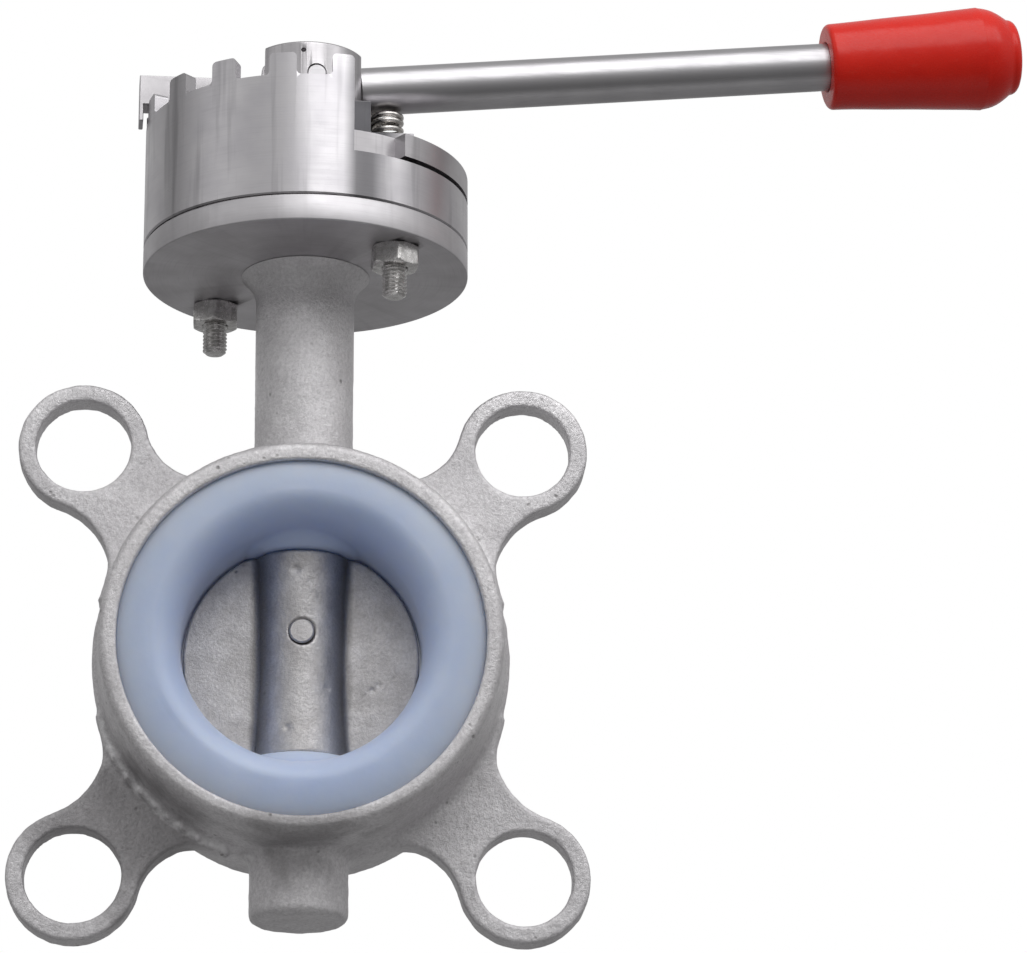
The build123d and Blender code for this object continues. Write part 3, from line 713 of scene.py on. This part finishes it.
def body_casting():
    """The casting's piece, with the skin's unevenness in its mesh."""
    vertices, quads = solid_of(casting_field, CAST_LOW, CAST_HIGH, CAST_STEP)
    across = np.hypot(vertices[:, 0], vertices[:, 2])
    as_cast = np.clip((across - SEAT_ROOM_R - 0.0008) / 0.001, 0, 1)
    as_cast *= np.clip((NECK_SPLIT_Z - vertices[:, 2]) / 0.004, 0, 1)
    as_cast *= 1 - 0.8 * np.clip((np.abs(vertices[:, 1]) - BARREL_HALF + 0.0008) / 0.0004, 0, 1)
    skin = ripple(vertices, 0.0035, 1) + 0.7 * ripple(vertices, 0.0018, 2)
    height = (skin - 1.6) * CAST_RIPPLE + flash_height(vertices)
    vertices += normals(casting_field, vertices) * (as_cast * height)[:, None]
    box_low, box_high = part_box("valve_body")
    vertices = np.clip(vertices, np.array(box_low), np.array(box_high))
    return new_piece("body_casting", vertices, quads)


def neck_flare():
    """The neck's upper part and its flare, from the casting's split to the flange."""
    flare_low = FLANGE_LOW_Z - FLARE_H
    flare = [(NECK_R + (FLARE_R - NECK_R) * share ** 2.6, flare_low + FLARE_H * share * (1 - 0.02 * share))
             for share in (step / 12 for step in range(13))]
    straight = [(NECK_R, NECK_SPLIT_Z + (flare_low - NECK_SPLIT_Z) * step / 16) for step in range(16)]
    inside = [(FLARE_R - 0.001, FLANGE_LOW_Z + 0.001), (STEM_BORE_R, FLANGE_LOW_Z + 0.001)]
    profile = straight + flare + inside + [(STEM_BORE_R, NECK_SPLIT_Z)]
    return new_piece("neck_flare", *lathe(profile, 160), sharp_deg=SHARP_DEG)


def top_flange():
    """The turned flange, with the thin open seam left under the cap."""
    corner = [(FLANGE_R - TURNED_EDGE * (1 - share) ** 2, FLANGE_LOW_Z + TURNED_EDGE * share ** 2)
              for share in (0, 1 / 3, 2 / 3, 1)]
    seam_z = FLANGE_TOP_Z - SEAM_GAP
    seam_r = FLANGE_R - SEAM_DEPTH
    seam = [(FLANGE_R, seam_z - SEAM_CORNER), (FLANGE_R - SEAM_CORNER, seam_z), (seam_r, seam_z)]
    top = [(seam_r, FLANGE_TOP_Z), (POCKET_R, FLANGE_TOP_Z), (POCKET_R, POCKET_Z), (STEM_BORE_R, POCKET_Z)]
    vertices, faces = lathe([(STEM_BORE_R, FLANGE_LOW_Z)] + corner + seam + top, 200)
    x, y, z = vertices.T
    closed = 0.5 + 0.5 * np.cos(np.arctan2(y, x) + SEAM_TURN)
    lift = np.clip(z - (seam_z - SEAM_REACH), 0, SEAM_REACH) / SEAM_REACH
    in_seam = (np.hypot(x, y) > seam_r - 0.0001) & (z < FLANGE_TOP_Z)
    z += in_seam * lift * SEAM_GAP * 0.7 * closed
    piece = new_piece("top_flange", vertices, faces, sharp_deg=SHARP_DEG)
    for angle in BOLT_ANGLES:
        place = (BOLT_CIRCLE_R * math.cos(angle), BOLT_CIRCLE_R * math.sin(angle), FLANGE_LOW_Z)
        drill(piece, BOLT_HOLE_R, place, (0, 0, 1), 0.04)
    return piece


# ======== seat and disc

def arc(centre, half_w, half_h, start_deg, end_deg, steps):
    """Points on an elliptic arc."""
    points = []
    for step in range(steps + 1):
        angle = math.radians(start_deg + (end_deg - start_deg) * step / steps)
        points.append((centre[0] + half_w * math.cos(angle), centre[1] + half_h * math.sin(angle)))
    return points


def seat_profile():
    """Outline of the seat as (radius, place along the pipe), the inner side first."""
    crest_y = BARREL_HALF - 0.0001
    nose_w = SEAT_CREST_R - SEAT_THROAT_R
    shoulder_deg = math.degrees(math.acos((SEAT_FACE_R - SEAT_SLACK - SEAT_CREST_R) / SEAT_SHOULDER_W))
    throat_y = crest_y - SEAT_NOSE_DEPTH
    rear_inner = arc((SEAT_CREST_R, throat_y), nose_w, SEAT_NOSE_DEPTH, 90, 180, 26)
    throat = [(SEAT_THROAT_R, throat_y * (1 - step / 20)) for step in range(1, 40)]
    inner = rear_inner + throat + [(radius, -y) for radius, y in reversed(rear_inner)]
    rear_outer = arc((SEAT_CREST_R, crest_y - SEAT_SHOULDER_DEPTH), SEAT_SHOULDER_W, SEAT_SHOULDER_DEPTH,
                     shoulder_deg, 90, 14)[:-1]
    front_outer = [(radius, -y) for radius, y in reversed(rear_outer)]
    bed = BARREL_HALF - SEAT_RIM_T
    key = [(SEAT_FACE_R, -bed), (SEAT_BED_R, -bed), (SEAT_BED_R, bed), (SEAT_FACE_R, bed)]
    return inner, front_outer + [(radius - SEAT_SLACK, y) for radius, y in key] + rear_outer


def seat():
    """The seat turned about the pipe's axis, with flats raised round the stem and holes for it."""
    inner, outer = seat_profile()
    vertices, faces = lathe(inner + outer, SEAT_COLUMNS)
    vertices = vertices[:, [0, 2, 1]]
    faces = [face[::-1] for face in faces]
    lining = len(inner) * SEAT_COLUMNS
    x, y, z = vertices[:lining].T
    away = np.clip((np.hypot(x, y) - SEAT_PAD_R) / SEAT_PAD_BLEND, 0, 1)
    above = np.maximum(np.abs(z) - DISC_FLAT_Z - SEAT_PAD_GAP, 0) * (1 - away ** 2 * (3 - 2 * away))
    z -= np.sign(z) * above
    spread = np.hypot(vertices[:, 0], vertices[:, 2])
    outward = np.clip((spread - SEAT_CREST_R) / (SEAT_FACE_R - SEAT_CREST_R), 0, 1)
    vertices[:, [0, 2]] *= (1 + outward * (SEAT_ROOM_R - SEAT_FACE_R) / spread)[:, None]
    vertices[:, 2] += SEAT_ROOM_Z * outward
    wave = 0.00006 * ripple(vertices, 0.012, 7)
    vertices[:lining, 1] += wave[:lining]
    piece = new_piece("seat", vertices, faces, sharp_deg=50)
    drill(piece, STEM_R + SEAT_PAD_GAP, (0, 0, 0), (0, 0, 1))
    return piece


def dents(points):
    """Depth of the nicks at each point."""
    total = np.zeros(len(points))
    for x, z, radius, depth in DENTS:
        reach = np.hypot(points[:, 0] - x, points[:, 2] - z) / radius
        total -= depth * np.exp(-reach ** 2) * (points[:, 1] < 0)
    return total


def disc_field(x, y, z):
    """Disc with a spherical rim, flat ends, a waisted boss and the pin's hole."""
    from_stem = np.hypot(x, y)
    boss = from_stem - DISC_BOSS_R - DISC_BOSS_FLARE * (z / DISC_R) ** 2
    solid = joined(between(y, -DISC_HALF, DISC_HALF) + 0 * x, boss, DISC_FOOT_R)
    solid = common(solid, np.sqrt(from_stem ** 2 + z ** 2) - DISC_R, DISC_EDGE_R)
    solid = common(solid, between(z, -DISC_FLAT_Z, DISC_FLAT_Z), DISC_END_R)
    at_mouth = np.clip((np.abs(y) - 0.0078) / 0.0008, 0, 1)
    from_pin = np.hypot(x - 0.0002 * at_mouth, z - PIN_Z + 0.0002 * at_mouth)
    solid = common(solid, PIN_R + FIT + PIN_DISH * at_mouth - from_pin, BORE_EDGE_R)
    return common(solid, STEM_R + FIT - from_stem, BORE_EDGE_R)


def valve_disc():
    """The disc's piece, with the skin's unevenness and nicks in its mesh."""
    high = np.array((DISC_R + 0.001, 0.0105, DISC_R - 0.001))
    vertices, quads = solid_of(disc_field, -high, high, DISC_STEP)
    outside = np.hypot(vertices[:, 0], vertices[:, 1]) > STEM_R + 0.001
    outside &= np.hypot(vertices[:, 0], vertices[:, 2] - PIN_Z) > PIN_R + 0.0006
    skin = ripple(vertices, 0.0060, 3) + 0.2 * ripple(vertices, 0.0018, 4)
    height = (skin - 1.8) * DISC_RIPPLE + dents(vertices)
    vertices += normals(disc_field, vertices) * (outside * height)[:, None]
    return new_piece("valve_disc", vertices, quads)


# ======== machined parts

def drill(piece, radius, place, direction, length=0.2):
    """Cuts a round hole through a piece."""
    vertices, faces = stacked_rings([(-length / 2, radius), (length / 2, radius)], DRILL_SIDES)
    faces += [tuple(range(DRILL_SIDES - 1, -1, -1)), tuple(range(DRILL_SIDES, 2 * DRILL_SIDES))]
    tool = new_piece("drill", vertices, faces)
    turn = Vector(direction).to_track_quat("Z", "Y").to_matrix().to_4x4()
    tool.matrix_world = Matrix.Translation(place) @ turn
    cut = piece.modifiers.new("hole", "BOOLEAN")
    cut.object = tool
    cut.operation = "DIFFERENCE"
    bpy.context.view_layer.update()
    drilled = bpy.data.meshes.new_from_object(piece.evaluated_get(bpy.context.evaluated_depsgraph_get()))
    piece.modifiers.clear()
    piece.data = drilled
    bpy.data.objects.remove(tool)


def crown_corners(shape):
    """The short radial edges at the crown's teeth and notches."""
    found = []
    for edge in shape.edges:
        middle = (edge.verts[0].co + edge.verts[1].co) / 2
        along = (edge.verts[0].co - edge.verts[1].co)
        radial = abs(along.xy.normalized().dot(middle.xy.normalized())) if along.length > 1e-6 else 0
        crosses = CROWN_EDGES[0] < along.length < CROWN_EDGES[1] and abs(along.z) < 1e-6 and radial > 0.9
        if crosses and middle.z > CROWN_FLOOR_Z - 0.0001 and edge.calc_face_angle(0) > math.radians(60):
            found.append(edge)
    return found


def machined_copy(name, node, corners=None):
    """A CAD node's shape with its sharp outer edges broken."""
    shape = bmesh.new()
    shape.from_mesh(node.data)
    bmesh.ops.remove_doubles(shape, verts=shape.verts, dist=2e-6)
    bmesh.ops.dissolve_limit(shape, angle_limit=math.radians(0.2), verts=shape.verts, edges=shape.edges)
    if corners:
        bmesh.ops.bevel(shape, geom=corners(shape), offset=TOOTH_CORNER_R, segments=5, profile=0.5,
                        affect="EDGES")
    steep = math.radians(SHARP_DEG)
    sharp = [edge for edge in shape.edges
             if edge.is_manifold and edge.is_convex and edge.calc_face_angle(0) > steep]
    bmesh.ops.bevel(shape, geom=sharp, offset=MACHINED_EDGE, segments=2, profile=0.5, affect="EDGES",
                    clamp_overlap=True)
    mesh = bpy.data.meshes.new(name)
    shape.to_mesh(mesh)
    shape.free()
    mesh.materials.clear()
    piece = shown(name, mesh, SHARP_DEG)
    piece.modifiers.new("even", "WEIGHTED_NORMAL").keep_sharp = True
    return piece


def thread_radius(height, angle):
    """Radius of the M5 thread, its crests and roots a little rounded."""
    share = (height / THREAD_PITCH - angle / (2 * np.pi)) % 1.0
    flank = np.clip(np.abs(share - 0.5) * 2.6 - 0.15, 0, 1)
    return THREAD_R - THREAD_DEPTH * flank


def hex_radius(across_flats, angle, from_end):
    """Radius of a hexagon with rounded corners, turned to a cone near its ends."""
    swing = (angle + np.pi / 6) % (np.pi / 3) - np.pi / 6
    flat = across_flats / 2 / np.cos(swing)
    corner = across_flats / 2 * 1.13
    return np.minimum(np.minimum(flat, corner), across_flats / 2 * 0.985 + from_end * 1.7)


def nut_mesh(low, high, turn):
    """Hexagon nut with chamfered ends and a countersunk bore."""
    def side(turns, height):
        return hex_radius(NUT_AF, turns - turn, min(height - low, high - height))

    rows = [(low + (high - low) * share, side) for share in NUT_ROWS]
    rows += [(high, THREAD_R + NUT_SINK), (high - NUT_SINK, THREAD_R), (low + NUT_SINK, THREAD_R),
             (low, THREAD_R + NUT_SINK)]
    return stacked_rings(rows, 2 * THREAD_COLUMNS, True)


def bolt_mesh(low, high, head_low, head_high):
    """Threaded shank from its chamfered end up to the head."""
    def shank(turns, height):
        return np.minimum(thread_radius(height, turns), BOLT_TIP_R + (height - low) * 1.2)

    def head(turns, height):
        return hex_radius(BOLT_HEAD_AF, turns, min(height - head_low, head_high - height))

    count = int((high - low) / THREAD_PITCH * 10)
    rows = [(low, 0.0)] + [(low + (high - low) * index / count, shank) for index in range(count + 1)]
    rows += [(head_low, THREAD_R), (head_low + 1e-6, head)]
    rows += [(head_low + (head_high - head_low) * share, head) for share in HEAD_ROWS]
    return stacked_rings(rows + [(head_high, 0.0)], THREAD_COLUMNS)


def at_bolts(name, meshes):
    """One piece per bolt place."""
    made = []
    for index, (angle, (vertices, faces)) in enumerate(zip(BOLT_ANGLES, meshes)):
        shift = np.array([BOLT_CIRCLE_R * math.cos(angle), BOLT_CIRCLE_R * math.sin(angle), 0])
        made.append(new_piece(f"{name}_{index + 1}", vertices + shift, faces, sharp_deg=SHARP_DEG))
    return made


# ======== lever parts

def rod_place(frame):
    """Matrix that takes +Z from the origin onto the rod's line from the pivot."""
    tilt = next(joint for joint in frame["joints"] if joint["name"] == "lever_tilt")
    azimuth = math.atan2(tilt["axis"][0], -tilt["axis"][1])
    lay = Matrix.Rotation(azimuth, 4, "Z") @ Matrix.Rotation(math.pi / 2 - ROD_TILT, 4, "Y")
    return Matrix.Translation(tilt["pos_m"]) @ lay, azimuth


def grip(place):
    """Moulded grip: rounded mouth, long swell to a ridge, short taper to a flat end."""
    swell_start = GRIP_START + GRIP_MOUTH_R
    outside = arc((GRIP_START_R - GRIP_MOUTH_R, swell_start), GRIP_MOUTH_R, GRIP_MOUTH_R, -90, 0, 5)
    for step in range(1, 31):
        share = step / 30
        radius = GRIP_START_R + (GRIP_RIDGE_R - GRIP_START_R) * share ** GRIP_SWELL
        outside.append((radius, swell_start + (GRIP_RIDGE - swell_start) * share))
    taper_start = GRIP_RIDGE + 0.0005
    taper_r = GRIP_RIDGE_R - 0.0001
    outside += [(GRIP_RIDGE_R + 0.00001, GRIP_RIDGE + 0.0002), (taper_r, taper_start)]
    for step in range(1, 9):
        share = step / 8
        radius = taper_r + (GRIP_END_R - taper_r) * share + GRIP_BULGE * math.sin(math.pi * share)
        outside.append((radius, taper_start + (GRIP_END - 0.0018 - taper_start) * share))
    corner = (GRIP_END_R - GRIP_CORNER_R, GRIP_END - GRIP_CORNER_R)
    outside += arc(corner, GRIP_CORNER_R, GRIP_CORNER_R, 5, 90, 6)
    inside = [(AXIS_R, GRIP_END), (AXIS_R, ROD_END), (GRIP_BORE_R, ROD_END),
              (GRIP_BORE_R, GRIP_START + 0.0004), (GRIP_BORE_R + 0.0004, GRIP_START)]
    vertices, faces = lathe(outside + inside, 120)
    size = np.maximum(np.hypot(vertices[:, 0], vertices[:, 1]), 1e-6)
    uneven = GRIP_RIPPLE * (ripple(vertices, 0.012, 9) - 2.0) * (size > GRIP_BORE_R + 0.001)
    vertices[:, :2] *= (1 + uneven / size)[:, None]
    return new_piece("grip_moulding", laid(vertices, place), faces, sharp_deg=45)


def rod(place):
    """The ground bar with its spigot, chamfered at both ends."""
    end = ROD_END - 0.0005
    outline = [(AXIS_R, end), (AXIS_R, SPIGOT_START), (SPIGOT_R, SPIGOT_START), (SPIGOT_R, ROD_START),
               (ROD_R - ROD_EDGE, ROD_START)]
    length = ROD_END - ROD_START - 2 * ROD_EDGE
    outline += [(ROD_R, ROD_START + ROD_EDGE + length * step / 12) for step in range(12)]
    outline += [(ROD_R, end - ROD_EDGE), (ROD_R - ROD_EDGE, end)]
    vertices, faces = lathe(outline, 96)
    return new_piece("lever_bar", laid(vertices, place), faces, sharp_deg=30)


def lever_spring(azimuth):
    """A compression spring with its end coils closed, on the hub's arm."""
    centre = Vector((SPRING_X * math.cos(azimuth), SPRING_X * math.sin(azimuth), 0))
    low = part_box("lever_spring")[0].z + SPRING_FOOT
    rise = SPRING_TOP_Z - low - 2 * SPRING_WIRE_R
    steps = int(SPRING_TURNS * COIL_STEPS)
    vertices = []
    for step in range(steps + 1):
        share = step / steps
        angle = share * SPRING_TURNS * 2 * math.pi
        height = low + SPRING_WIRE_R + rise * (share - SPRING_END_BEND * math.sin(2 * math.pi * share))
        out = Vector((math.cos(angle), math.sin(angle), 0))
        for spoke in range(WIRE_SIDES):
            turn = spoke * 2 * math.pi / WIRE_SIDES
            radius = SPRING_MEAN_R + SPRING_WIRE_R * math.cos(turn)
            vertices.append(centre + out * radius + Vector((0, 0, height + SPRING_WIRE_R * math.sin(turn))))
    faces = [(a, d, c, b) for a, b, c, d in grid_faces(steps + 1, WIRE_SIDES)]
    faces.append(tuple(range(WIRE_SIDES)))
    faces.append(tuple(steps * WIRE_SIDES + spoke for spoke in range(WIRE_SIDES - 1, -1, -1)))
    return new_piece("lever_coil", vertices, faces, sharp_deg=60)


# ======== studio

def camera():
    """The camera, from its place and direction."""
    sin_y, cos_y = math.sin(CAMERA_YAW), math.cos(CAMERA_YAW)
    sin_p, cos_p = math.sin(CAMERA_PITCH), math.cos(CAMERA_PITCH)
    ahead = Vector((sin_y * cos_p, cos_y * cos_p, sin_p))
    level = Vector((cos_y, -sin_y, 0))
    upright = level.cross(ahead)
    right = level * math.cos(CAMERA_ROLL) + upright * math.sin(CAMERA_ROLL)
    up = upright * math.cos(CAMERA_ROLL) - level * math.sin(CAMERA_ROLL)
    data = bpy.data.cameras.new("camera")
    data.sensor_width = SENSOR_W
    data.lens = SENSOR_W * FOCAL_SHARE
    data.clip_start, data.clip_end = 0.01, 20.0
    view = bpy.data.objects.new("camera", data)
    bpy.context.scene.collection.objects.link(view)
    turn = Matrix((right, up, -ahead)).transposed().to_4x4()
    view.matrix_world = Matrix.Translation(CAMERA_PLACE) @ turn
    bpy.context.scene.camera = view


def softbox(name, place, target, width, height, power):
    """A rectangular area light that faces a point."""
    data = bpy.data.lights.new(name, "AREA")
    data.shape = "RECTANGLE"
    data.size, data.size_y = width, height
    data.energy = power
    light = bpy.data.objects.new(name, data)
    bpy.context.scene.collection.objects.link(light)
    light.location = place
    light.rotation_euler = (Vector(target) - Vector(place)).to_track_quat("-Z", "Y").to_euler()


def surroundings():
    """White behind the object, and a soft grey studio for the metal to reflect."""
    world = bpy.data.worlds.new("studio")
    bpy.context.scene.world = world
    world.use_nodes = True
    sky = Nodes(world.node_tree)
    x, y, z = sky.axes(sky.node("ShaderNodeTexCoord").outputs["Generated"])
    height = sky.math("ADD", sky.math("ARCSINE", z), math.pi / 2)
    height = sky.math("DIVIDE", height, math.pi)
    away = sky.times(y, -1.0)
    turn = sky.math("ADD", sky.math("ARCTAN2", x, away), math.pi)
    turn = sky.math("DIVIDE", turn, 2 * math.pi)
    behind = sky.greys(height, BACK_BY_ELEVATION)
    before = sky.greys(height, FRONT_BY_ELEVATION)
    sides = sky.greys(turn, [(at, tone / 2) for at, tone in BY_DIRECTION])
    tone = sky.mix(sky.span(away, -0.3, 0.3), behind, before)
    room = sky.tree.nodes["Background"]
    sky.feed(room.inputs["Strength"], 2 * STUDIO_STRENGTH)
    sky.feed(room.inputs["Color"], sky.mix(1.0, tone, sides, "MULTIPLY"))
    backdrop = sky.node("ShaderNodeBackground", {"Color": (1, 1, 1, 1)})
    seen = sky.node("ShaderNodeLightPath").outputs["Is Camera Ray"]
    choice = sky.node("ShaderNodeMixShader", (seen, room.outputs[0], backdrop.outputs[0]))
    sky.feed(sky.tree.nodes["World Output"].inputs["Surface"], choice.outputs[0])


def floor():
    """A plain pale floor well below the object."""
    look = Look("floor_paint")
    tone = look.mix(look.noise(0.4, 2.0), (0.78, 0.78, 0.78), (0.82, 0.82, 0.82))
    look.set(Base_Color=tone, Roughness=0.7)
    corners = [(x * FLOOR_HALF, y * FLOOR_HALF, FLOOR_Z) for x, y in ((-1, -1), (1, -1), (1, 1), (-1, 1))]
    sheet = new_piece("floor", corners, [(0, 1, 2, 3)])
    sheet.data.materials.append(look.material)
    sheet.visible_glossy = False
    sheet.visible_diffuse = False


def studio():
    surroundings()
    floor()
    camera()
    softbox("key", (0.115, -0.41, 0.53), (0.0, 0.0, 0.09), 0.36, 0.62, 1.35)
    softbox("side", (0.50, -0.31, 0.50), (0.0, 0.0, 0.03), 0.26, 0.36, 0.55)
    bpy.context.scene.view_settings.view_transform = "Standard"


# ======== assembly

def dress_nodes(nodes, materials):
    """Every CAD node that stays takes its slot's material."""
    for node in nodes.values():
        for index, material in enumerate(node.data.materials):
            node.data.materials[index] = materials[slot_of(material)]


def fit(piece, body, slot, *nodes):
    """Gives a piece its finish and body, and hides the CAD nodes that it stands for."""
    piece.data.materials.append(materials[slot])
    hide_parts(*nodes)
    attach(piece, body)


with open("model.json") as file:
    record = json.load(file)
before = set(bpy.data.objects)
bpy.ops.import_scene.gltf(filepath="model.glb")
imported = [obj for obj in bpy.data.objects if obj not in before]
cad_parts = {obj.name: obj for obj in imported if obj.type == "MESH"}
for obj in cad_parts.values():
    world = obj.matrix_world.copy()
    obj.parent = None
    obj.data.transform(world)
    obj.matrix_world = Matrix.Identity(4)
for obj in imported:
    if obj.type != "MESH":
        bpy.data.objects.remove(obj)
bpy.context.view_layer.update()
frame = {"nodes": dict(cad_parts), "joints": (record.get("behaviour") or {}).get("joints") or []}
materials = make_materials()
nodes = frame["nodes"]
dress_nodes(nodes, materials)
fit(body_casting(), "root", "cast_stainless", "valve_body")
fit(neck_flare(), "root", "cast_stainless", "valve_body")
flange = top_flange()
fit(flange, "root", "cast_stainless", "valve_body")
flange.data.materials[0] = materials["turned_flange"]
fit(seat(), "root", "seat_rubber", "seat_liner")
fit(machined_copy("cap", nodes["notch_cap"], crown_corners), "root", "machined_stainless", "notch_cap")
flange_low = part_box("cap_nuts")[1].z
for nut in at_bolts("nut", [nut_mesh(flange_low - NUT_H, flange_low, turn) for turn in NUT_TURNS]):
    fit(nut, "root", "bolt_steel", "cap_nuts")
for bolt in at_bolts("bolt", [bolt_mesh(BOLT_END_Z, FLANGE_LOW_Z, *BOLT_HEAD_Z)] * 2):
    fit(bolt, "root", "bolt_steel", "cap_bolts")
fit(valve_disc(), "stem_assembly", "disc_stainless", "disc")
fit(machined_copy("hub_block", nodes["hub"]), "stem_assembly", "hub_stainless", "hub")
rod_line, lever_azimuth = rod_place(frame)
fit(lever_spring(lever_azimuth), "stem_assembly", "spring_steel", "lever_spring")
fit(machined_copy("latch", nodes["latch_bar"]), "lever", "hub_stainless", "latch_bar")
fit(rod(rod_line), "lever", "polished_stainless", "lever_rod")
fit(grip(rod_line), "lever", "red_plastic", "grip")
nodes["disc_pin"].data.materials[0] = materials["disc_stainless"]
studio()
